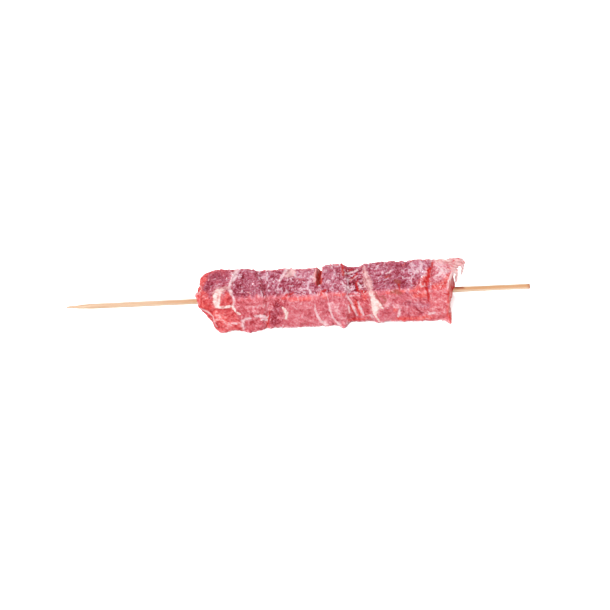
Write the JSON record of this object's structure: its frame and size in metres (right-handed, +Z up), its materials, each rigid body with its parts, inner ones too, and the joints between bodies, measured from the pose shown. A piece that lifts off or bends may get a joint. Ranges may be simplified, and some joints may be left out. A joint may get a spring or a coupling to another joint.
{
  "type": "raw beef kebab skewer",
  "caption": "Raw beef slices, cut square and pressed together on a round bamboo skewer, lying flat, ready for the grill.",
  "frame": {"origin": "on the surface the kebab lies on, under the middle of its bounding box", "axes": "+X along the skewer from its point towards its blunt end, +Z up"},
  "size_m": [0.25, 0.0272, 0.0265],
  "materials": {
    "raw_beef": "moist cut beef with fat seams",
    "bamboo": "smooth bare bamboo with fine lengthwise grain"
  },
  "bodies": {
    "root": {"skewer": "bamboo", "beef_slice_1": "raw_beef", "beef_slice_2": "raw_beef", "beef_slice_3": "raw_beef", "beef_slice_4": "raw_beef", "beef_slice_5": "raw_beef", "beef_slice_6": "raw_beef", "beef_slice_7": "raw_beef", "beef_slice_8": "raw_beef", "beef_slice_9": "raw_beef"}
  },
  "joints": []
}
